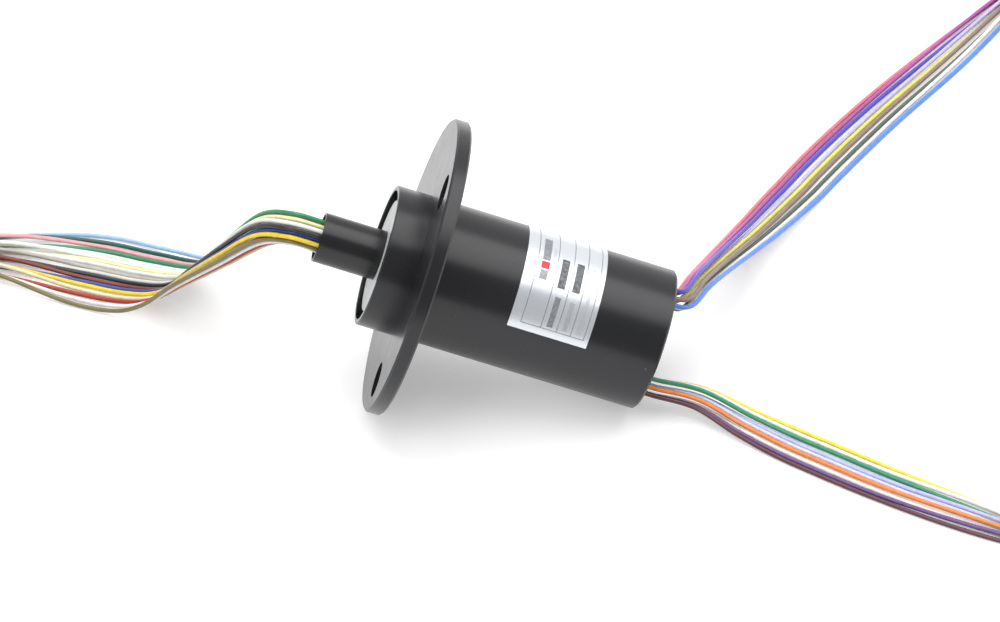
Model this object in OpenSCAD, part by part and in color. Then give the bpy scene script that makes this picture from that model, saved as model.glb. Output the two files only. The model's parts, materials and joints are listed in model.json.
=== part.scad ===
// Capsule slip ring: 18 circuits, screw flange, flying leads at both ends.
// The ring lies on a table on its flange rim and the rear edge of its body.
// +X runs from the rotor stub to the rear cover, +Z is up. Millimetres.

/* [Body] */
// Outer diameter of the housing tube and of the front collar
body_d = 22; // [21.4:0.1:26]
// Length of the tube behind the flange
body_len = 37; // [32:0.5:60]
// Thickness of the tube wall
body_wall = 1.6; // [1:0.1:1.8]
// Length of the collar in front of the flange
collar_len = 5.2; // [4.8:0.1:8]
// Thickness of the collar's lip
lip_wall = 0.8; // [0.5:0.1:1.2]
// Depth of the open mouth inside the collar
mouth_depth = 3.3; // [3:0.1:4]

/* [Flange] */
// Diameter of the flange
flange_d = 46.4; // [42:0.2:60]
// Thickness of the flange
flange_t = 2.3; // [1.6:0.1:3.5]
// Diameter of the three screw holes
hole_d = 5.5; // [3.2:0.1:6]
// Pitch circle of the screw holes
hole_pcd = 36.6; // [34:0.2:38]
// Turn of the first screw hole, from the top towards the front
hole_turn = 12; // [0:1:119]
// Chamfer on the outer edges
edge_chamfer = 0.3; // [0.1:0.05:0.5]

/* [Rotor] */
// Diameter of the black sleeve on the stub
stub_d = 7.7; // [7.4:0.1:8.6]
// Length of the stub in front of the collar
stub_len = 9.2; // [6:0.1:14]
// Diameter of the white face disc
disc_d = 17.4; // [15:0.1:19]
// Setback of the face disc behind the collar's lip
disc_setback = 0.5; // [0.2:0.1:0.8]
// Outer diameter of the tube that carries the rings
mandrel_d = 7; // [6.6:0.1:7.2]
// Bore of the mandrel, where the leads run
mandrel_bore = 5.9; // [5.8:0.1:6]

/* [Contact rings] */
// Number of circuits, one contact ring each
circuits = 18; // [6:2:18]
// Distance from one ring to the next
ring_pitch = 1.4; // [1.3:0.05:1.5]
// Width of a contact ring
ring_w = 1; // [0.8:0.05:1.1]
// Outer diameter of a contact ring
ring_d = 9; // [8.6:0.1:9.4]
// Depth of the V groove that the brush wires run in
groove_depth = 0.6; // [0.4:0.05:0.7]
// Diameter of a gold brush wire
brush_wire_d = 0.3; // [0.2:0.02:0.34]

/* [Bearings] */
// Width of the front bearing
front_bearing_w = 4; // [3.5:0.1:4.5]
// Bore of the front bearing
front_bearing_bore = 12; // [11.6:0.1:12.4]
// Width of the rear bearing
rear_bearing_w = 3; // [2.5:0.1:3.2]
// Bore of the rear bearing
rear_bearing_bore = 5; // [4.6:0.1:5.2]
// Outer diameter of the rear bearing
rear_bearing_d = 9; // [8.8:0.1:9.2]
// Number of balls in the front bearing
front_balls = 14; // [8:1:16]
// Number of balls in the rear bearing
rear_balls = 9; // [6:1:10]

/* [Leads] */
// Diameter of one lead over its insulation
lead_d = 0.7; // [0.5:0.05:0.72]
// Distance of the two lead outlets from the axis
outlet_r = 7; // [6.8:0.1:7.4]
// Diameter of a lead outlet
outlet_d = 4; // [3.8:0.1:4.2]
// Turn of the upper outlet, from the top towards the back
outlet_turn = 38; // [0:1:90]

/* [Label] */
// Width of the label along the body
label_w = 12.5; // [8:0.5:20]
// Distance of the label behind the flange
label_start = 13.2; // [6:0.2:16]
// Angle at which the label ends at the front, from the top
label_low = 75; // [60:1:100]
// Angle that the label wraps
label_span = 140; // [90:5:200]
// Thickness of the label
label_t = 0.08; // [0.05:0.01:0.2]

/* [Hidden] */
$fn = 96;
flange_r = flange_d / 2;
body_r = body_d / 2;
bore_r = body_r - body_wall;
mouth_r = body_r - lip_wall;
stub_r = stub_d / 2;
sleeve_wall = (stub_d - mandrel_d) / 2;
running_gap = 0.02;

// Places along the axis: zero at the back of the flange, positive to the rear
lip_s = -flange_t - collar_len;
tip_s = lip_s - stub_len;
disc_s = lip_s + disc_setback;
bearing_s = lip_s + mouth_depth;
bearing_end_s = bearing_s + front_bearing_w;
bearing_lip_w = 0.8;
rings_s = bearing_end_s + bearing_lip_w + 1.8;
rings_len = circuits * ring_pitch + (ring_pitch - ring_w);
cover_t = 2.4;
cover_s = body_len - cover_t;
shaft_end_s = cover_s - 0.1;
circlip_t = 0.4;
rear_bearing_s = shaft_end_s - 0.1 - circlip_t - rear_bearing_w;
lead_setback = 1;
lead_face_s = tip_s + lead_setback;
rear_face_s = body_len - 0.5;

// Radii of what fits round the axis
front_bearing_r = bore_r - 0.4;
disc_t = 1.6;
seat_r = front_bearing_bore / 2;
disc_hub_r = seat_r + 0.45;
cover_r = bore_r + 0.5;
boss_r = rear_bearing_d / 2 + 0.7;
groove_r = ring_d / 2 - groove_depth;
insulator_r = ring_d / 2 + 0.4;
groove_half_w = 0.35;
// A brush wire rests on both flanks of the groove
groove_half_angle = atan(groove_half_w / groove_depth);
brush_y = groove_r + brush_wire_d / 2 / sin(groove_half_angle) + running_gap;
block_bottom_r = insulator_r + 1.2;
block_w = 10.4;

// The tilt that lays flange rim and rear edge on the table together
tilt = atan((flange_r - body_r) / body_len);
along = [cos(tilt), 0, -sin(tilt)];
above = [sin(tilt), 0, cos(tilt)];
front_x = tip_s * cos(tilt) - stub_r * sin(tilt);
back_x = (body_len - edge_chamfer) * cos(tilt) + body_r * sin(tilt);
origin_shift = [
    -(front_x + back_x) / 2,
    0,
    flange_r * cos(tilt) - edge_chamfer * sin(tilt)
];

// Point at distance s along the axis, w above it and y behind it
function place(s, w = 0, y = 0) = origin_shift + s * along + w * above + [0, y, 0];

// The slip ring's own frame: its axis is z, with the top at -x and the back at +y
module on_axis(s = 0) {
    translate(origin_shift)
        rotate([0, 90 + tilt, 0])
            translate([0, 0, s])
                children();
}

// Turns a child that stands at the top by an angle towards the front
module turned(angle) {
    rotate([0, 0, 180 + angle])
        children();
}

// Ring with a rectangular section
module ring(outer, inner, height) {
    rotate_extrude()
        translate([inner, 0])
            square([outer - inner, height]);
}

// ---- Housing ----

housing_profile = [
    [mouth_r, lip_s],
    [body_r - 0.15, lip_s],
    [body_r, lip_s + 0.15],
    [body_r, -flange_t],
    [flange_r - edge_chamfer, -flange_t],
    [flange_r, -flange_t + edge_chamfer],
    [flange_r, -edge_chamfer],
    [flange_r - edge_chamfer, 0],
    [body_r, 0],
    [body_r, body_len - edge_chamfer],
    [body_r - edge_chamfer, body_len],
    [cover_r, body_len],
    [cover_r, cover_s],
    [bore_r, cover_s],
    [bore_r, bearing_end_s + bearing_lip_w],
    [front_bearing_r - 0.6, bearing_end_s + bearing_lip_w],
    [front_bearing_r - 0.6, bearing_end_s],
    [front_bearing_r, bearing_end_s],
    [front_bearing_r, bearing_s],
    [mouth_r, bearing_s]
];

module flanged_housing() {
    color("#2b2c2e")
        on_axis()
            difference() {
                rotate_extrude()
                    polygon(housing_profile);
                for (k = [0:2])
                    turned(hole_turn + 120 * k)
                        translate([hole_pcd / 2, 0, -flange_t - 1])
                            cylinder(d = hole_d, h = flange_t + 2);
            }
}

module at_outlets() {
    for (angle = [-outlet_turn, 180 - outlet_turn])
        turned(angle)
            translate([outlet_r, 0, 0])
                children();
}

module rear_cover() {
    color("#26272a")
        on_axis()
            difference() {
                union() {
                    translate([0, 0, cover_s])
                        cylinder(r = cover_r, h = cover_t);
                    translate([0, 0, rear_bearing_s])
                        cylinder(r = boss_r, h = cover_s - rear_bearing_s);
                }
                translate([0, 0, rear_bearing_s - 1])
                    cylinder(d = rear_bearing_d, h = cover_s - rear_bearing_s + 1);
                translate([0, 0, cover_s - 1])
                    at_outlets()
                        cylinder(d = outlet_d, h = cover_t + 2);
            }
}

module outlet_potting() {
    color("#3a3a3c")
        on_axis(cover_s)
            at_outlets()
                cylinder(d = outlet_d, h = rear_face_s - cover_s);
}

// ---- Bearings ----

// One bearing is a pair of grooved races round a ring of balls in a cage
race_t = 0.9;
ball_clearance = 0.01;

function ball_track_r(outer_r, inner_r) = (outer_r + inner_r) / 2;
function ball_r(outer_r, inner_r) = (outer_r - inner_r) / 2 - race_t * 0.62;
function race_wall(outer_r, inner_r) = min(race_t, (outer_r - inner_r) / 2 - 0.35);

module race(outer_r, inner_r, width, is_outer) {
    track_r = ball_track_r(outer_r, inner_r);
    groove = ball_r(outer_r, inner_r) + ball_clearance;
    wall = race_wall(outer_r, inner_r);
    difference() {
        if (is_outer)
            ring(outer_r, outer_r - wall, width);
        else
            ring(inner_r + wall, inner_r, width);
        translate([0, 0, width / 2])
            rotate_extrude()
                translate([track_r, 0])
                    circle(r = groove, $fn = 32);
    }
}

module caged_balls(outer_r, inner_r, width, count) {
    track_r = ball_track_r(outer_r, inner_r);
    radius = ball_r(outer_r, inner_r);
    cage_half = min(0.22, (outer_r - inner_r) / 2 - race_wall(outer_r, inner_r) - 0.06);
    translate([0, 0, width / 2]) {
        for (k = [0:count - 1])
            rotate([0, 0, 360 * k / count])
                translate([track_r, 0, 0])
                    sphere(r = radius, $fn = 24);
        translate([0, 0, -radius * 0.5])
            ring(track_r + cage_half, track_r - cage_half, radius);
    }
}

module front_bearing_outer_race() {
    color("#b9bcc0")
        on_axis(bearing_s)
            race(front_bearing_r, seat_r, front_bearing_w, true);
}

module front_bearing_inner_race() {
    color("#b9bcc0")
        on_axis(bearing_s)
            race(front_bearing_r, seat_r, front_bearing_w, false);
}

module front_bearing_balls() {
    color("#d0d2d4")
        on_axis(bearing_s)
            caged_balls(front_bearing_r, seat_r, front_bearing_w, front_balls);
}

module rear_bearing_outer_race() {
    color("#b9bcc0")
        on_axis(rear_bearing_s)
            race(rear_bearing_d / 2, rear_bearing_bore / 2, rear_bearing_w, true);
}

module rear_bearing_inner_race() {
    color("#b9bcc0")
        on_axis(rear_bearing_s)
            race(rear_bearing_d / 2, rear_bearing_bore / 2, rear_bearing_w, false);
}

module rear_bearing_balls() {
    color("#d0d2d4")
        on_axis(rear_bearing_s)
            caged_balls(rear_bearing_d / 2, rear_bearing_bore / 2, rear_bearing_w, rear_balls);
}

// ---- Brushes ----

block_start = rings_s - 1.2;
block_len = rings_len + 2.4;

module brush_block(angle) {
    turned(angle)
        intersection() {
            translate([block_bottom_r, -block_w / 2, block_start])
                cube([body_r, block_w, block_len]);
            translate([0, 0, block_start])
                cylinder(r = bore_r, h = block_len);
        }
}

// Two wires a ring form a fork that straddles it
module brush_forks(angle, first) {
    turned(angle)
        for (k = [first:2:circuits - 1], side = [-1, 1])
            translate([-1.5, side * brush_y, rings_s + (k + 0.5) * ring_pitch])
                rotate([0, 90, 0])
                    cylinder(d = brush_wire_d, h = block_bottom_r + 1.5, $fn = 16);
}

module brush_block_a() {
    color("#3d6b4a")
        on_axis()
            brush_block(0);
}

module brush_block_b() {
    color("#3d6b4a")
        on_axis()
            brush_block(180);
}

module brush_wires_a() {
    color("#d8b35a")
        on_axis()
            brush_forks(0, 0);
}

module brush_wires_b() {
    color("#d8b35a")
        on_axis()
            brush_forks(180, 1);
}

// ---- Rotor ----

spigot_r = rear_bearing_bore / 2;
core_bore_r = 2.5;
core_end_s = rings_s + rings_len;

mandrel_profile = [
    [mandrel_bore / 2, tip_s + 0.4],
    [mandrel_d / 2, tip_s + 0.4],
    [mandrel_d / 2, bearing_s],
    [seat_r, bearing_s],
    [seat_r, bearing_end_s],
    [mandrel_d / 2 + 0.6, bearing_end_s],
    [mandrel_d / 2 + 0.6, rings_s],
    [mandrel_d / 2, rings_s],
    [mandrel_d / 2, core_end_s],
    [spigot_r + 0.4, core_end_s],
    [spigot_r + 0.4, rear_bearing_s],
    [spigot_r, rear_bearing_s],
    [spigot_r, shaft_end_s],
    [0, shaft_end_s],
    [0, core_end_s - 1],
    [core_bore_r, core_end_s - 1],
    [core_bore_r, rings_s],
    [mandrel_bore / 2, bearing_end_s]
];

module rotor_mandrel() {
    color("#c9c4b8")
        on_axis()
            difference() {
                rotate_extrude()
                    polygon(mandrel_profile);
                translate([0, 0, rings_s + 0.6])
                    translate([0, -0.6, 0])
                        cube([mandrel_d, 1.2, rings_len - 2.4]);
                translate([0, 0, shaft_end_s - 0.1 - circlip_t])
                    ring(spigot_r + 1, spigot_r - 0.25, circlip_t);
            }
}

module contact_rings() {
    groove_start = (ring_w - 2 * groove_half_w) / 2;
    color("#d9b65c")
        on_axis(rings_s + ring_pitch / 2 - ring_w / 2)
            for (k = [0:circuits - 1])
                translate([0, 0, k * ring_pitch])
                    rotate_extrude()
                        polygon([
                            [mandrel_d / 2, 0],
                            [ring_d / 2, 0],
                            [ring_d / 2, groove_start],
                            [groove_r, ring_w / 2],
                            [ring_d / 2, ring_w - groove_start],
                            [ring_d / 2, ring_w],
                            [mandrel_d / 2, ring_w]
                        ]);
}

// Thin insulating collars fill the stack between and beside the rings
module ring_insulators() {
    gap = ring_pitch - ring_w;
    color("#8d6f4a")
        on_axis(rings_s)
            for (k = [0:circuits])
                translate([0, 0, max(0, k * ring_pitch - gap / 2)])
                    ring(insulator_r, mandrel_d / 2, k == 0 ? gap / 2 : gap);
}

module rotor_face_disc() {
    color("#e4e4e2")
        on_axis(disc_s)
            difference() {
                union() {
                    cylinder(d = disc_d, h = disc_t);
                    cylinder(r = disc_hub_r, h = bearing_s - disc_s);
                }
                translate([0, 0, -1])
                    cylinder(d = mandrel_d, h = bearing_s - disc_s + 2);
            }
}

module stub_sleeve() {
    color("#1c1d1f")
        on_axis(tip_s)
            ring(stub_r, stub_r - sleeve_wall, disc_s - tip_s);
}

module stub_potting() {
    color("#d8d0b8")
        on_axis(lead_face_s)
            cylinder(d = mandrel_bore, h = 4);
}

module shaft_circlip() {
    color("#9a9da2")
        on_axis(shaft_end_s - 0.1 - circlip_t)
            difference() {
                ring(spigot_r + 0.75, spigot_r - 0.25, circlip_t);
                translate([0, -0.8, -1])
                    cube([body_r, 1.6, circlip_t + 2]);
            }
}

// ---- Label ----

module rating_label() {
    color("#e9ecee")
        on_axis(label_start)
            rotate([0, 0, 180 + label_low - label_span])
                rotate_extrude(angle = label_span)
                    translate([body_r, 0])
                        square([label_t, label_w]);
}

// ---- Leads ----

function unit(v) = v / norm(v);

// Catmull-Rom curve through p1 and p2, kept off the table, and its direction
function curve_at(p0, p1, p2, p3, t) =
    laid((2 * p1 + (p2 - p0) * t
    + (2 * p0 - 5 * p1 + 4 * p2 - p3) * t ^ 2
    + (3 * p1 - p0 - 3 * p2 + p3) * t ^ 3) / 2);
function curve_dir(p0, p1, p2, p3, t) =
    unit((p2 - p0)
    + 2 * (2 * p0 - 5 * p1 + 4 * p2 - p3) * t
    + 3 * (3 * p1 - p0 - 3 * p2 + p3) * t ^ 2);
function laid(p) = [p.x, p.y, max(p.z, lead_z)];

// The route's stations with one more at each end, in line with the end spans
function extended(route) =
    let (last = len(route) - 1)
    concat(
        [2 * route[0] - route[1]],
        route,
        [2 * route[last] - route[last - 1]]
    );

module swept_tube(route, diameter, rings_per_span, sides = 8) {
    stations = extended(route);
    spans = len(route) - 1;
    rings = [
        for (k = [0:spans * rings_per_span])
            let (
                span = min(floor(k / rings_per_span), spans - 1),
                t = k / rings_per_span - span,
                a = stations[span],
                b = stations[span + 1],
                c = stations[span + 2],
                d = stations[span + 3],
                centre = curve_at(a, b, c, d, t),
                dir = curve_dir(a, b, c, d, t),
                side = unit(cross(dir, [0, 0, 1])),
                up = cross(side, dir)
            )
            [for (j = [0:sides - 1])
                let (turn = 360 * (j + 0.5) / sides)
                centre + diameter / 2 * (cos(turn) * side + sin(turn) * up)]
    ];
    points = [for (r = rings, p = r) p];
    last = (len(rings) - 1) * sides;
    walls = [
        for (i = [0:len(rings) - 2], j = [0:sides - 1])
            let (
                a = i * sides + j,
                b = i * sides + (j + 1) % sides
            )
            each [[a, b, b + sides], [a, b + sides, a + sides]]
    ];
    start_cap = [for (j = [sides - 1:-1:0]) j];
    end_cap = [for (j = [0:sides - 1]) last + j];
    polyhedron(points, concat(walls, [start_cap], [end_cap]));
}

// A bundle of leads follows one spine. Each lead keeps its own place beside the
// spine: first its place in the outlet, then its lane on the table, and last
// its place in the square pack that enters the coil.
// A spine's rows are [point, share of the lane, shares of the pack across and up].
function bundle_route(lead, start, spine, pack) =
    concat(
        [start + lead[1] * [0, 1, 0] + lead[2] * above],
        [for (k = [0:len(spine) - 1])
            let (
                point = spine[k][0],
                before = k == 0 ? start : spine[k - 1][0],
                after = k == len(spine) - 1 ? point : spine[k + 1][0],
                heading = unit(after - before),
                left = unit(cross([0, 0, 1], heading)),
                across = heading.x > 0 ? left : -left,
                up = cross(heading, left),
                on_table = spine[k][1],
                packed = spine[k][2],
                lane = (1 - packed) * lead[3] + packed * pack.x,
                height = spine[k][3] * pack.y
            )
            point
                + ((1 - on_table) * lead[1] + on_table * lane) * across
                + ((1 - on_table) * lead[2] + on_table * height) * up]
    );

// Rows: [colour, place in the outlet towards the back and up, lane on the table]
rotor_leads = [
    ["#a9cdf2", 2.3, 0.2, 8.6],
    ["#1f5a50", 1.8, 0.9, 7],
    ["#f3a9ae", 1.1, 1.6, 5.8],
    ["#2d8f63", 0.7, 2.4, 4.9],
    ["#eceeea", 1.4, -0.4, 3.9],
    ["#f4f4f1", 0.7, 0.6, 3.1],
    ["#efe9b4", 0, 1.9, 2.3],
    ["#efefec", -1.2, 2, 1.5],
    ["#b7b2a8", 1.2, -1.5, 0.3],
    ["#d9dad6", -0.5, 0.4, -0.5],
    ["#232427", -1.9, 1.5, -1.3],
    ["#7c2f2c", -0.4, -1, -2.4],
    ["#2f4ea0", -1.6, 0.6, -3.2],
    ["#f2d22e", -2.4, 0.3, -4],
    ["#e6dcb8", -0.3, -2.4, -5.3],
    ["#a8331f", -1.1, -1.9, -6.3],
    ["#f0f0ee", -1.8, -1.3, -7.6],
    ["#7b6f45", -2.3, -0.6, -8.9]
];

lower_leads = [
    ["#f0dc3a", 1.6, 0.3, 3.9],
    ["#f2f2f0", 0.8, 1, 3],
    ["#2f8f66", 0, 1.6, 2.2],
    ["#b9bdf0", 0.9, -0.5, 1],
    ["#d4d4f4", 0.1, 0.2, 0.2],
    ["#f08a3c", -0.9, 0.6, -0.6],
    ["#e9e6e0", 0.1, -1.5, -1.8],
    ["#6a4a86", -0.8, -0.9, -2.6],
    ["#5b3038", -1.6, -0.3, -3.4]
];

upper_leads = [
    ["#ee7f8c", 1.6, 0.3, 4],
    ["#b65aa6", 0.8, 1, 3.1],
    ["#5a55c8", 0, 1.6, 2.2],
    ["#cfc6ee", 0.9, -0.5, 1],
    ["#e6e66a", 0.1, 0.2, 0.1],
    ["#9a8078", -0.9, 0.6, -0.8],
    ["#5f6e62", 0.1, -1.5, -2],
    ["#f1f1ee", -0.8, -0.9, -2.9],
    ["#5f92f0", -1.6, -0.3, -3.8]
];

lead_z = lead_d / 2 + 0.02;
rotor_start = place(lead_face_s);
rotor_spine = [
    [rotor_start - 5 * along, 0, 0, 0],
    [[-35, 3, 25.8], 0.1, 0, 0],
    [[-41, 7, 18.5], 0.3, 0, 0],
    [[-46.5, 12, 10.5], 0.55, 0, 0],
    [[-51.5, 17, 3.6], 0.85, 0, 0],
    [[-58, 20.5, 0.9], 1, 0, 0],
    [[-67, 23.2, lead_z], 1, 0, 0.1],
    [[-79, 24.8, lead_z], 1, 0.4, 0.8],
    [[-91, 25, lead_z], 1, 1, 1]
];

function outlet_centre(turn) =
    place(rear_face_s, outlet_r * cos(turn), -outlet_r * sin(turn));

lower_start = outlet_centre(180 - outlet_turn);
lower_spine = [
    [lower_start + 3 * along, 0, 0, 0],
    [[32, -4.5, 2.8], 0.3, 0, 0],
    [[39.5, -8, 1], 0.7, 0, 0],
    [[47.5, -12.5, lead_z], 1, 0, 0],
    [[60, -19.5, lead_z], 1, 0, 0.1],
    [[73, -26, lead_z], 1, 0.2, 0.7],
    [[86, -32.1, lead_z], 1, 1, 1]
];

upper_start = outlet_centre(-outlet_turn);
upper_spine = [
    [upper_start + 3 * along, 0, 0, 0],
    [[31, 11.5, 13], 0.1, 0, 0],
    [[34, 22, 8.8], 0.3, 0, 0],
    [[39.5, 38, 3.2], 0.7, 0, 0],
    [[46, 53, lead_z], 1, 0, 0],
    [[57, 72.5, lead_z], 1, 0, 0.1],
    [[70, 92.5, lead_z], 1, 0.2, 0.7],
    [[83, 113, lead_z], 1, 1, 1]
];

// Place of lead k in the pack: columns across, rows upwards
pack_pitch = lead_d + 0.12;
function pack_place(k, columns, rows) =
    [((columns - 1) / 2 - floor(k / rows)) * pack_pitch, (k % rows) * pack_pitch];

lead_rings = 3;

module rotor_lead(k) {
    lead = rotor_leads[k];
    color(lead[0])
        swept_tube(
            bundle_route(lead, rotor_start, rotor_spine, pack_place(k, 6, 3)),
            lead_d,
            lead_rings
        );
}

module lower_lead(k) {
    lead = lower_leads[k];
    color(lead[0])
        swept_tube(
            bundle_route(lead, lower_start, lower_spine, pack_place(k, 5, 2)),
            lead_d,
            lead_rings
        );
}

module upper_lead(k) {
    lead = upper_leads[k];
    color(lead[0])
        swept_tube(
            bundle_route(lead, upper_start, upper_spine, pack_place(k, 5, 2)),
            lead_d,
            lead_rings
        );
}

// Spare length lies in a flat coil, which a straight lead-in meets at a tangent
coil_r = 12.5;

module lead_coil(spine, side, columns, rows, levels) {
    entry = spine[len(spine) - 1][0];
    heading = spine_heading(spine);
    half_w = columns * pack_pitch / 2 + 0.15;
    lead_in = 2 * sqrt(coil_r * half_w) + 0.5;
    height = rows * pack_pitch + 0.1;
    color("#c8c8cc")
        translate([entry.x, entry.y, 0])
            rotate([0, 0, atan2(heading.y, heading.x)]) {
                translate([0, -half_w, 0])
                    cube([lead_in, 2 * half_w, height]);
                translate([lead_in, side * coil_r, 0])
                    ring(coil_r + half_w, coil_r - half_w, height * levels);
            }
}

function spine_heading(spine) =
    let (last = len(spine) - 1)
    unit(spine[last][0] - spine[last - 1][0]);

module rotor_lead_coil() {
    lead_coil(rotor_spine, 1, 6, 3, 2);
}

module lower_lead_coil() {
    lead_coil(lower_spine, 1, 5, 2, 3);
}

module upper_lead_coil() {
    lead_coil(upper_spine, -1, 5, 2, 3);
}

function two_digits(k) = str(k < 10 ? "0" : "", k);
function rotor_name(k) = str("rotor_lead_", two_digits(k + 1));
function lower_name(k) = str("lower_lead_", two_digits(k + 1));
function upper_name(k) = str("upper_lead_", two_digits(k + 1));

flanged_housing();
rear_cover();
outlet_potting();
front_bearing_outer_race();
front_bearing_balls();
rear_bearing_outer_race();
rear_bearing_balls();
brush_block_a();
brush_block_b();
brush_wires_a();
brush_wires_b();
rating_label();
rotor_mandrel();
contact_rings();
ring_insulators();
rotor_face_disc();
stub_sleeve();
stub_potting();
front_bearing_inner_race();
rear_bearing_inner_race();
shaft_circlip();
rotor_lead_coil();
lower_lead_coil();
upper_lead_coil();
for (k = [0:len(rotor_leads) - 1])
    rotor_lead(k);
for (k = [0:len(lower_leads) - 1])
    lower_lead(k);
for (k = [0:len(upper_leads) - 1])
    upper_lead(k);
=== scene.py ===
"""Looks of the slip ring: camera, leads, materials, printed label and studio."""
import json
import math
import bpy
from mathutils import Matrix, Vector


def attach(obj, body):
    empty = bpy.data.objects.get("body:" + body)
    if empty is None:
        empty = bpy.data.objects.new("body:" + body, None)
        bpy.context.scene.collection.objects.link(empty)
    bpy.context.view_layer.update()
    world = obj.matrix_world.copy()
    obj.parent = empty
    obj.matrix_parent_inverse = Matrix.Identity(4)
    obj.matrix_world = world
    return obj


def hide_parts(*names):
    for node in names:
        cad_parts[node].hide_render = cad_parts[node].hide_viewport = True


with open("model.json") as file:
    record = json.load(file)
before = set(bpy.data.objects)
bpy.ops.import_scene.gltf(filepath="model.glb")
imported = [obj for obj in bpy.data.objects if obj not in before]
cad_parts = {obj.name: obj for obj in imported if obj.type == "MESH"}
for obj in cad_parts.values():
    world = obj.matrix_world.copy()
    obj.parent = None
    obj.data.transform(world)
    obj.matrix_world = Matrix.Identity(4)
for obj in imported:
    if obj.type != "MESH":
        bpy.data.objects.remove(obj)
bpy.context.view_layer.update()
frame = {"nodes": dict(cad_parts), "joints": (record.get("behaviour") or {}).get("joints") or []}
nodes = frame["nodes"]

# ---- Frame of the ring: its axis, and distances along it from the flange's back ----
JOINT = frame["joints"][0]
ORIGIN = Vector(JOINT["pos_m"])
ALONG = Vector(JOINT["axis"]).normalized()
BACK = Vector((0, 1, 0))
ABOVE = ALONG.cross(BACK)
UP = Vector((0, 0, 1))


def place(s, w=0.0, y=0.0):
    """Point at distance s along the axis, w above it and y behind it."""
    return ORIGIN + s * ALONG + w * ABOVE + y * BACK


# ---- Camera ----
CAMERA_AT = Vector((0.0449, -0.5698, 0.4740))
CAMERA_LOOK = Vector((-0.0599, 0.7770, -0.6266))
CAMERA_LENS_MM = 173.3
CAMERA_SENSOR_MM = 36


def make_camera():
    data = bpy.data.cameras.new("camera")
    data.lens = CAMERA_LENS_MM
    data.sensor_width = CAMERA_SENSOR_MM
    data.clip_start = 0.05
    data.clip_end = 20
    camera = bpy.data.objects.new("camera", data)
    camera.location = CAMERA_AT
    camera.rotation_euler = CAMERA_LOOK.to_track_quat("-Z", "Y").to_euler()
    bpy.context.scene.collection.objects.link(camera)
    bpy.context.scene.camera = camera


make_camera()

# ---- Leads ----
LEAD_D = 0.0007
LEAD_LENGTH = 0.25
TABLE_GAP = 0.00002
LEAD_Z = LEAD_D / 2 + TABLE_GAP
PACK_PITCH = LEAD_D + 0.00012
COIL_R = 0.0125
ROTOR_FACE_S = -0.0157
REAR_FACE_S = 0.0365
OUTLET_R = 0.007
OUTLET_TURN = math.radians(38)
SAMPLES_PER_SPAN = 10
SAMPLES_PER_TURN = 40
TUBE_SIDES = 12
MOST_TURNS = 4
# A coil's clearances, and the share of a turn before it climbs and while it does
COIL_SIDE_GAP = 0.00015
COIL_LEAD_IN_GAP = 0.0005
COIL_LEVEL_GAP = 0.0001
CLIMB_AFTER = 0.15
CLIMB_FOR = 0.65

# Rows: colour, then in mm: place in the outlet towards the back and up, lane on the table
ROTOR_LEADS = [
    ("#a9cdf2", 2.3, 0.2, 8.6),
    ("#1f5a50", 1.8, 0.9, 7),
    ("#f3a9ae", 1.1, 1.6, 5.8),
    ("#2d8f63", 0.7, 2.4, 4.9),
    ("#eceeea", 1.4, -0.4, 3.9),
    ("#f4f4f1", 0.7, 0.6, 3.1),
    ("#efe9b4", 0, 1.9, 2.3),
    ("#efefec", -1.2, 2, 1.5),
    ("#b7b2a8", 1.2, -1.5, 0.3),
    ("#d9dad6", -0.5, 0.4, -0.5),
    ("#232427", -1.9, 1.5, -1.3),
    ("#7c2f2c", -0.4, -1, -2.4),
    ("#2f4ea0", -1.6, 0.6, -3.2),
    ("#f2d22e", -2.4, 0.3, -4),
    ("#e6dcb8", -0.3, -2.4, -5.3),
    ("#a8331f", -1.1, -1.9, -6.3),
    ("#f0f0ee", -1.8, -1.3, -7.6),
    ("#7b6f45", -2.3, -0.6, -8.9),
]
LOWER_LEADS = [
    ("#f0dc3a", 1.6, 0.3, 3.9),
    ("#f2f2f0", 0.8, 1, 3),
    ("#2f8f66", 0, 1.6, 2.2),
    ("#b9bdf0", 0.9, -0.5, 1),
    ("#d4d4f4", 0.1, 0.2, 0.2),
    ("#f08a3c", -0.9, 0.6, -0.6),
    ("#e9e6e0", 0.1, -1.5, -1.8),
    ("#6a4a86", -0.8, -0.9, -2.6),
    ("#5b3038", -1.6, -0.3, -3.4),
]
UPPER_LEADS = [
    ("#ee7f8c", 1.6, 0.3, 4),
    ("#b65aa6", 0.8, 1, 3.1),
    ("#5a55c8", 0, 1.6, 2.2),
    ("#cfc6ee", 0.9, -0.5, 1),
    ("#e6e66a", 0.1, 0.2, 0.1),
    ("#9a8078", -0.9, 0.6, -0.8),
    ("#5f6e62", 0.1, -1.5, -2),
    ("#f1f1ee", -0.8, -0.9, -2.9),
    ("#5f92f0", -1.6, -0.3, -3.8),
]


def outlet(turn):
    return place(REAR_FACE_S, OUTLET_R * math.cos(turn), -OUTLET_R * math.sin(turn))


ROTOR_START = place(ROTOR_FACE_S)
LOWER_START = outlet(math.pi - OUTLET_TURN)
UPPER_START = outlet(-OUTLET_TURN)

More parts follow.
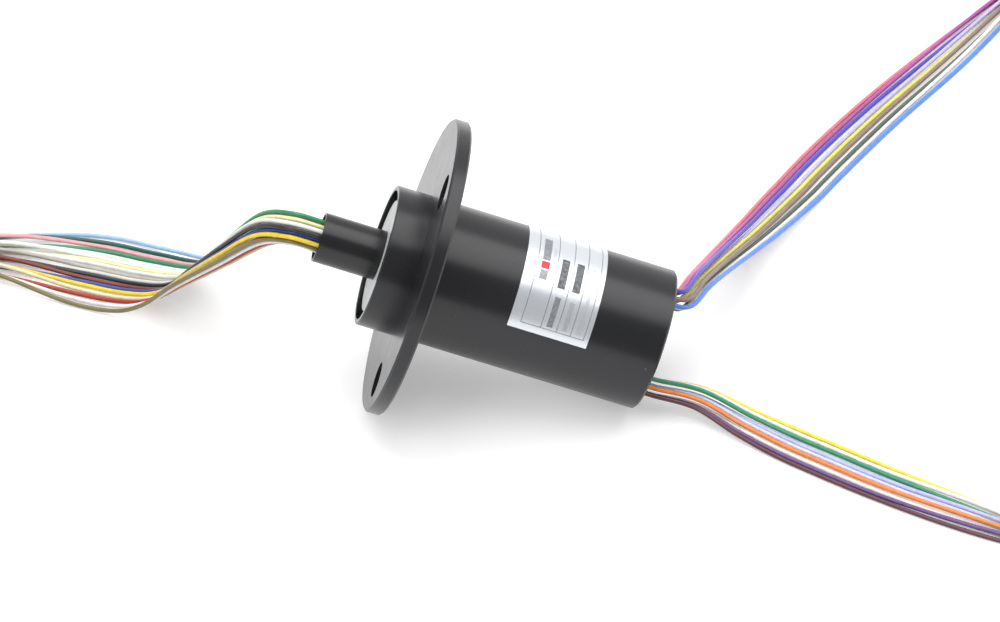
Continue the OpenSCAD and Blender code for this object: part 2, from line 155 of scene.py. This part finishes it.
# Rows: point in metres, share of the lane, shares of the pack across and up
ROTOR_SPINE = [
    (ROTOR_START - 0.005 * ALONG, 0, 0, 0),
    ((-0.035, 0.003, 0.0258), 0.1, 0, 0),
    ((-0.041, 0.007, 0.0185), 0.3, 0, 0),
    ((-0.0465, 0.012, 0.0105), 0.55, 0, 0),
    ((-0.0515, 0.017, 0.0036), 0.85, 0, 0),
    ((-0.058, 0.0205, 0.0009), 1, 0, 0),
    ((-0.067, 0.0232, LEAD_Z), 1, 0, 0.1),
    ((-0.079, 0.0248, LEAD_Z), 1, 0.4, 0.8),
    ((-0.091, 0.025, LEAD_Z), 1, 1, 1),
]
LOWER_SPINE = [
    (LOWER_START + 0.003 * ALONG, 0, 0, 0),
    ((0.032, -0.0045, 0.0028), 0.3, 0, 0),
    ((0.0395, -0.008, 0.001), 0.7, 0, 0),
    ((0.0475, -0.0125, LEAD_Z), 1, 0, 0),
    ((0.06, -0.0195, LEAD_Z), 1, 0, 0.1),
    ((0.073, -0.026, LEAD_Z), 1, 0.2, 0.7),
    ((0.086, -0.0321, LEAD_Z), 1, 1, 1),
]
UPPER_SPINE = [
    (UPPER_START + 0.003 * ALONG, 0, 0, 0),
    ((0.031, 0.0115, 0.013), 0.1, 0, 0),
    ((0.034, 0.022, 0.0088), 0.3, 0, 0),
    ((0.0395, 0.038, 0.0032), 0.7, 0, 0),
    ((0.046, 0.053, LEAD_Z), 1, 0, 0),
    ((0.057, 0.0725, LEAD_Z), 1, 0, 0.1),
    ((0.07, 0.0925, LEAD_Z), 1, 0.2, 0.7),
    ((0.083, 0.113, LEAD_Z), 1, 1, 1),
]


def heading_at(points, k):
    before = points[max(k - 1, 0)]
    after = points[min(k + 1, len(points) - 1)]
    return (after - before).normalized()


def lead_route(lead, start, spine, pack):
    """The stations of one lead: its place in the outlet, then its lane, then its pack."""
    _, back, up_share, lane = lead
    back, up_share, lane = back / 1000, up_share / 1000, lane / 1000
    route = [start + back * BACK + up_share * ABOVE]
    points = [start] + [Vector(row[0]) for row in spine]
    for k, (_, on_table, packed, raised) in enumerate(spine, 1):
        heading = heading_at(points, k)
        left = UP.cross(heading).normalized()
        across = left if heading.x > 0 else -left
        up = heading.cross(left)
        beside = (1 - packed) * lane + packed * pack[0]
        sideways = (1 - on_table) * back + on_table * beside
        upwards = (1 - on_table) * up_share + on_table * raised * pack[1]
        route.append(points[k] + sideways * across + upwards * up)
    return route


def curve_through(route):
    """Catmull-Rom curve through the stations, kept off the table."""
    ends = [2 * route[0] - route[1]] + route + [2 * route[-1] - route[-2]]
    points = []
    for a, b, c, d in zip(ends, ends[1:], ends[2:], ends[3:]):
        for i in range(SAMPLES_PER_SPAN):
            t = i / SAMPLES_PER_SPAN
            p = (
                2 * b + (c - a) * t
                + (2 * a - 5 * b + 4 * c - d) * t ** 2
                + (3 * b - a - 3 * c + d) * t ** 3
            ) / 2
            p.z = max(p.z, LEAD_Z)
            points.append(p)
    points.append(route[-1].copy())
    return points


def climb(turns):
    """Levels climbed after so many turns: each turn rises once it is clear of its start."""
    whole = math.floor(turns)
    share = min(1, max(0, (turns - whole - CLIMB_AFTER) / CLIMB_FOR))
    return whole + share * share * (3 - 2 * share)


def coil_points(spine, side, columns, rows, pack):
    """The lead-in and turns of one lead, from its place at the end of the spine."""
    entry = Vector(spine[-1][0])
    heading = (entry - Vector(spine[-2][0])).normalized()
    left = UP.cross(heading).normalized()
    half_w = columns * PACK_PITCH / 2 + COIL_SIDE_GAP
    lead_in = 2 * math.sqrt(COIL_R * half_w) + COIL_LEAD_IN_GAP
    level = rows * PACK_PITCH + COIL_LEVEL_GAP
    centre = entry + lead_in * heading + side * COIL_R * left
    to_left = pack[0] if heading.x > 0 else -pack[0]
    radius = COIL_R - side * to_left
    points = []
    for i in range(MOST_TURNS * SAMPLES_PER_TURN):
        turns = i / SAMPLES_PER_TURN
        angle = 2 * math.pi * turns
        p = centre + radius * (math.sin(angle) * heading - side * math.cos(angle) * left)
        p.z = LEAD_Z + pack[1] + level * climb(turns)
        points.append(p)
    return points


def cut_to_length(points, length):
    """The first so many metres of a run of points."""
    kept = [points[0]]
    left_over = length
    for a, b in zip(points, points[1:]):
        step = (b - a).length
        if step >= left_over:
            kept.append(a + (b - a) * (left_over / step))
            return kept
        left_over -= step
        kept.append(b)
    return kept


def tube_mesh(name, points):
    """A closed round tube along the points, which never run straight up."""
    verts = []
    for k, at in enumerate(points):
        heading = heading_at(points, k)
        side = heading.cross(UP).normalized()
        up = side.cross(heading)
        for j in range(TUBE_SIDES):
            turn = 2 * math.pi * j / TUBE_SIDES
            verts.append(at + LEAD_D / 2 * (math.cos(turn) * side + math.sin(turn) * up))
    faces = []
    for i in range(0, len(verts) - TUBE_SIDES, TUBE_SIDES):
        for j in range(TUBE_SIDES):
            k = (j + 1) % TUBE_SIDES
            faces.append((i + j, i + k, i + TUBE_SIDES + k, i + TUBE_SIDES + j))
    faces.append(tuple(reversed(range(TUBE_SIDES))))
    faces.append(tuple(range(len(verts) - TUBE_SIDES, len(verts))))
    mesh = bpy.data.meshes.new(name)
    mesh.from_pydata(verts, [], faces)
    mesh.shade_smooth()
    for cap in mesh.polygons[-2:]:
        cap.use_smooth = False
    return mesh


def lead_piece(name, points, body, solids):
    piece = bpy.data.objects.new(name, tube_mesh(name, points))
    bpy.context.scene.collection.objects.link(piece)
    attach(piece, body)
    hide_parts(*solids)
    return piece


def make_bundle(kind, leads, start, spine, columns, rows, side, body):
    """All leads of one outlet, each a cord of its real length. Returns them by colour."""
    made = []
    for k, lead in enumerate(leads):
        pack = (
            ((columns - 1) / 2 - k // rows) * PACK_PITCH,
            (k % rows) * PACK_PITCH,
        )
        route = lead_route(lead, start, spine, pack)
        points = curve_through(route) + coil_points(spine, side, columns, rows, pack)
        points = cut_to_length(points, LEAD_LENGTH)
        node = "%s_lead_%02d" % (kind, k + 1)
        solids = [node, "%s_lead_coil" % kind]
        piece = lead_piece(node + "_wire", points, body, solids)
        made.append((piece, lead[0]))
    return made


wires = make_bundle("rotor", ROTOR_LEADS, ROTOR_START, ROTOR_SPINE, 6, 3, 1, "rotor")
wires += make_bundle("lower", LOWER_LEADS, LOWER_START, LOWER_SPINE, 5, 2, 1, "stator")
wires += make_bundle("upper", UPPER_LEADS, UPPER_START, UPPER_SPINE, 5, 2, -1, "stator")


# ---- Materials ----
def srgb(colour):
    """A written colour such as #a9cdf2 as a linear RGBA."""
    parts = [int(colour[i:i + 2], 16) / 255 for i in (1, 3, 5)]
    linear = [p / 12.92 if p <= 0.04045 else ((p + 0.055) / 1.055) ** 2.4 for p in parts]
    return linear + [1]


GRAIN_DEPTH = 0.00002


class Nodes:
    """Short calls that add and link a material's nodes."""

    def __init__(self, name):
        self.material = bpy.data.materials.new(name)
        self.material.use_nodes = True
        self.tree = self.material.node_tree
        self.shader = self.tree.nodes["Principled BSDF"]

    def add(self, kind, inputs=None, **settings):
        node = self.tree.nodes.new(kind)
        for key, value in settings.items():
            setattr(node, key, value)
        for key, value in (inputs or {}).items():
            if isinstance(value, bpy.types.NodeSocket):
                self.tree.links.new(value, node.inputs[key])
            else:
                node.inputs[key].default_value = value
        return node

    def math(self, operation, a, b=0.0):
        return self.add("ShaderNodeMath", {0: a, 1: b}, operation=operation).outputs[0]

    def mix(self, share, a, b):
        """Colour a where share is 0 and b where it is 1."""
        node = self.add("ShaderNodeMix", {0: share, 6: a, 7: b}, data_type="RGBA")
        return node.outputs[2]

    def noise(self, scale, detail=2.0, where=None):
        inputs = {"Scale": scale, "Detail": detail}
        if where is not None:
            inputs["Vector"] = where
        return self.add("ShaderNodeTexNoise", inputs).outputs["Fac"]

    def ramp(self, value, low, high):
        """0 below low and 1 above high."""
        inputs = {"Value": value, "From Min": low, "From Max": high}
        return self.add("ShaderNodeMapRange", inputs, clamp=True).outputs[0]

    def object_place(self):
        return self.add("ShaderNodeTexCoord").outputs["Object"]

    def bump(self, height, strength, distance):
        inputs = {"Height": height, "Strength": strength, "Distance": distance}
        return self.add("ShaderNodeBump", inputs).outputs[0]

    def set(self, **inputs):
        for key, value in inputs.items():
            socket = self.shader.inputs[key.replace("_", " ")]
            if isinstance(value, bpy.types.NodeSocket):
                self.tree.links.new(value, socket)
            else:
                socket.default_value = value


def paint(material, *names):
    for name in names:
        thing = nodes.get(name) or bpy.data.objects[name]
        thing.data.materials.clear()
        thing.data.materials.append(material)


def black_satin(name, colour, roughness, dust=1.0):
    """Black moulded or anodised surface with a fine grain and a few specks of dust."""
    n = Nodes(name)
    where = n.object_place()
    grain = n.noise(9000, 3, where)
    cloud = n.noise(260, 3, where)
    inputs = {"Vector": where, "Scale": 420.0, "Randomness": 1.0}
    cells = n.add("ShaderNodeTexVoronoi", inputs)
    speck = n.ramp(cells.outputs["Distance"], 0.055, 0.035)
    chance = n.add("ShaderNodeSeparateColor", {0: cells.outputs["Color"]}).outputs[0]
    rare = n.ramp(chance, 0.93, 0.94)
    dusty = n.math("MULTIPLY", n.math("MULTIPLY", speck, rare), dust)
    base = n.mix(dusty, srgb(colour), srgb("#9a9c9f"))
    rough = n.math("ADD", roughness - 0.04, n.math("MULTIPLY", cloud, 0.08))
    rough = n.math("ADD", rough, n.math("MULTIPLY", dusty, 0.4))
    n.set(Base_Color=base, Roughness=rough, Normal=n.bump(grain, 0.12, GRAIN_DEPTH))
    return n.material


def plain_plastic(name, colour, roughness):
    """Moulded plastic or resin with a fine grain and a faint cloud of a darker shade."""
    n = Nodes(name)
    where = n.object_place()
    cloud = n.noise(500, 3, where)
    deep = [c * 0.93 for c in srgb(colour)[:3]] + [1]
    base = n.mix(n.ramp(cloud, 0.3, 0.7), srgb(colour), deep)
    rough = n.math("ADD", roughness - 0.03, n.math("MULTIPLY", cloud, 0.06))
    height = n.noise(4000, 2, where)
    n.set(Base_Color=base, Roughness=rough, Normal=n.bump(height, 0.1, GRAIN_DEPTH))
    return n.material


def metal(name, colour, roughness):
    n = Nodes(name)
    where = n.object_place()
    fine = n.noise(3000, 2, where)
    rough = n.math("ADD", roughness - 0.05, n.math("MULTIPLY", fine, 0.1))
    n.set(Base_Color=srgb(colour), Metallic=1.0, Roughness=rough)
    return n.material


def wire_insulation(colour):
    """Smooth coloured insulation with a slightly uneven gloss."""
    n = Nodes("wire_" + colour[1:])
    where = n.object_place()
    cloud = n.noise(900, 3, where)
    deep = [c * 0.86 for c in srgb(colour)[:3]] + [1]
    base = n.mix(n.ramp(cloud, 0.35, 0.65), srgb(colour), deep)
    rough = n.math("ADD", 0.26, n.math("MULTIPLY", cloud, 0.12))
    n.set(Base_Color=base, Roughness=rough, Normal=n.bump(cloud, 0.1, 0.00005))
    return n.material


insulation = {}
for piece, colour in wires:
    if colour not in insulation:
        insulation[colour] = wire_insulation(colour)
    piece.data.materials.append(insulation[colour])

paint(black_satin("black_housing", "#15161a", 0.26), "flanged_housing")
paint(black_satin("black_cover", "#15161a", 0.32), "rear_cover")
paint(black_satin("black_sleeve", "#0f1012", 0.27, 0.5), "stub_sleeve")
paint(plain_plastic("dark_potting", "#2a2a2c", 0.5), "outlet_potting")
paint(plain_plastic("pale_potting", "#d8d0b8", 0.45), "stub_potting")
paint(plain_plastic("face_disc", "#c2c6c5", 0.42), "rotor_face_disc")
paint(plain_plastic("mandrel_resin", "#c9c4b8", 0.5), "rotor_mandrel")
paint(plain_plastic("insulator_resin", "#8d6f4a", 0.5), "ring_insulators")
paint(plain_plastic("brush_board", "#3d6b4a", 0.5), "brush_block_a", "brush_block_b")
paint(metal("gold_alloy", "#e0b85c", 0.25), "brush_wires_a", "brush_wires_b", "contact_rings")
paint(
    metal("bearing_steel", "#b9bcc0", 0.3),
    "front_bearing_outer_race", "front_bearing_inner_race",
    "rear_bearing_outer_race", "rear_bearing_inner_race", "shaft_circlip",
)
paint(metal("ball_steel", "#d0d2d4", 0.12), "front_bearing_balls", "rear_bearing_balls")

# ---- Label: silver foil with ruled columns and plain bars in place of print ----
LABEL_START = 0.0132
LABEL_LOW = math.radians(75)
LABEL_R = 0.01108
LINE_W = 0.00013
FOOT = 0.0011
PAST_THE_TOP = 0.1
# Ruled lines round the tube, from the label's front edge
FRAME_LINES = [0.0018, 0.0049, 0.0074, 0.0096, 0.0117]
# Bars: column centre, width, lower and upper end up the label, darkness
BARS = [
    (0.0031, 0.0012, 0.0083, 0.0099, 0.68),
    (0.0031, 0.0012, 0.0116, 0.0165, 0.72),
    (0.0043, 0.0005, 0.0096, 0.0146, 0.22),
    (0.00615, 0.0009, 0.0016, 0.0063, 0.78),
    (0.00615, 0.0012, 0.0077, 0.0128, 0.92),
    (0.0085, 0.0007, 0.0017, 0.0061, 0.45),
    (0.0085, 0.0012, 0.0077, 0.0128, 0.92),
    (0.01065, 0.0006, 0.0018, 0.0126, 0.28),
]
RED_FIELD = (0.0031, 0.0013, 0.0101, 0.0114)


def silver_label():
    n = Nodes("silver_label")
    where = n.object_place()
    inputs = {0: where, 1: ORIGIN}
    offset = n.add("ShaderNodeVectorMath", inputs, operation="SUBTRACT").outputs[0]

    def part(direction):
        inputs = {0: offset, 1: direction}
        return n.add("ShaderNodeVectorMath", inputs, operation="DOT_PRODUCT").outputs["Value"]

    across = n.math("SUBTRACT", part(ALONG), LABEL_START)
    # Angle from the top towards the front, then distance up the label from its lower edge
    angle = n.math("ARCTAN2", part(-BACK), part(ABOVE))
    up = n.math("MULTIPLY", n.math("SUBTRACT", LABEL_LOW, angle), LABEL_R)

    def band(value, low, high):
        """1 between low and high."""
        above = n.math("GREATER_THAN", value, low)
        below = n.math("LESS_THAN", value, high)
        return n.math("MULTIPLY", above, below)

    def field(centre, width, low, high):
        beside = band(across, centre - width / 2, centre + width / 2)
        return n.math("MULTIPLY", beside, band(up, low, high))

    middle = (FRAME_LINES[0] + FRAME_LINES[-1]) / 2
    lines = field(middle, FRAME_LINES[-1] - FRAME_LINES[0], FOOT, FOOT + LINE_W)
    for at in FRAME_LINES:
        lines = n.math("MAXIMUM", lines, field(at, LINE_W, FOOT, PAST_THE_TOP))
    ink = n.math("MULTIPLY", lines, 0.75)
    for centre, width, low, high, dark in BARS:
        ink = n.math("MAXIMUM", ink, n.math("MULTIPLY", field(centre, width, low, high), dark))
    worn = n.ramp(n.noise(2500, 3, where), 0.25, 0.6)
    ink = n.math("MULTIPLY", ink, n.math("ADD", 0.75, n.math("MULTIPLY", worn, 0.25)))
    red = field(*RED_FIELD)
    foil = n.mix(n.noise(150, 2, where), srgb("#e3e7ec"), srgb("#d8dce2"))
    printed = n.mix(ink, foil, srgb("#26282c"))
    printed = n.mix(red, printed, srgb("#d8343a"))
    covered = n.math("MAXIMUM", ink, red)
    metallic = n.math("MULTIPLY", n.math("SUBTRACT", 1.0, covered), 0.75)
    rough = n.math("ADD", 0.27, n.math("MULTIPLY", covered, 0.15))
    n.set(Base_Color=printed, Metallic=metallic, Roughness=rough)
    n.set(Normal=n.bump(n.noise(1200, 2, where), 0.08, 0.00003))
    return n.material


paint(silver_label(), "rating_label")


# ---- Studio ----
SKY_LIGHT = 0.55
ROOM_DIM = 0.4
FLOOR_SIZE = 8
FLOOR_GLOW = 0.32
LAMP_AIM = Vector((0, 0, 0.015))


def white_for_view(name, colour, glow):
    """Floor that shows white, and the object's shadow, to the eye and to reflections."""
    n = Nodes(name)
    path = n.add("ShaderNodeLightPath").outputs
    seen = n.math("MAXIMUM", path["Is Camera Ray"], path["Is Glossy Ray"])
    seen = n.math("MAXIMUM", seen, path["Is Transmission Ray"])
    length = n.add("ShaderNodeVectorMath", {0: n.object_place()}, operation="LENGTH")
    away = length.outputs["Value"]
    # Further off, where the lamps reach less, it glows more, to stay as white
    far_glow = n.math("MULTIPLY", n.ramp(away, 0.2, 0.7), 0.4)
    n.set(Base_Color=srgb(colour), Roughness=0.9, Specular_IOR_Level=0.0)
    n.set(
        Emission_Color=(1, 1, 1, 1),
        Emission_Strength=n.math("MULTIPLY", seen, n.math("ADD", far_glow, glow)),
    )
    return n.material


def make_floor():
    bpy.ops.mesh.primitive_plane_add(size=FLOOR_SIZE, location=(0, 0, -TABLE_GAP))
    floor = bpy.context.object
    floor.name = "floor"
    floor.data.materials.append(white_for_view("floor_white", "#e6e6e6", FLOOR_GLOW))


def make_world():
    """White all round to the eye. In reflections the room in front of the object is dimmer."""
    world = bpy.data.worlds.new("studio")
    bpy.context.scene.world = world
    world.use_nodes = True
    tree = world.node_tree
    background = tree.nodes["Background"]
    background.inputs["Color"].default_value = (1, 1, 1, 1)
    path = tree.nodes.new("ShaderNodeLightPath").outputs
    towards = tree.nodes.new("ShaderNodeTexCoord").outputs["Generated"]
    part = tree.nodes.new("ShaderNodeSeparateXYZ")
    tree.links.new(towards, part.inputs[0])
    room = tree.nodes.new("ShaderNodeMapRange")
    tree.links.new(part.outputs["Y"], room.inputs["Value"])
    room.inputs["From Min"].default_value = -0.5
    room.inputs["From Max"].default_value = 0.1
    room.inputs["To Min"].default_value = ROOM_DIM
    room.inputs["To Max"].default_value = 1.0

    def choose(flag, other, chosen):
        node = tree.nodes.new("ShaderNodeMix")
        for value, key in ((flag, 0), (other, 2), (chosen, 3)):
            if isinstance(value, bpy.types.NodeSocket):
                tree.links.new(value, node.inputs[key])
            else:
                node.inputs[key].default_value = value
        return node.outputs[0]

    strength = choose(path["Is Glossy Ray"], SKY_LIGHT, room.outputs[0])
    strength = choose(path["Is Transmission Ray"], strength, 1.0)
    strength = choose(path["Is Camera Ray"], strength, 1.0)
    tree.links.new(strength, background.inputs["Strength"])


def softbox(name, at, size, watts):
    data = bpy.data.lights.new(name, "AREA")
    data.shape = "RECTANGLE"
    data.size, data.size_y = size
    data.energy = watts
    lamp = bpy.data.objects.new(name, data)
    lamp.location = at
    direction = LAMP_AIM - Vector(at)
    lamp.rotation_euler = direction.to_track_quat("-Z", "Y").to_euler()
    bpy.context.scene.collection.objects.link(lamp)


make_floor()
make_world()
softbox("overhead", (0.05, 0.12, 0.95), (1.4, 1.0), 9.7)
softbox("window", (-0.5, -0.8, 0.9), (0.5, 0.9), 5)

scene = bpy.context.scene
scene.view_settings.view_transform = "Standard"
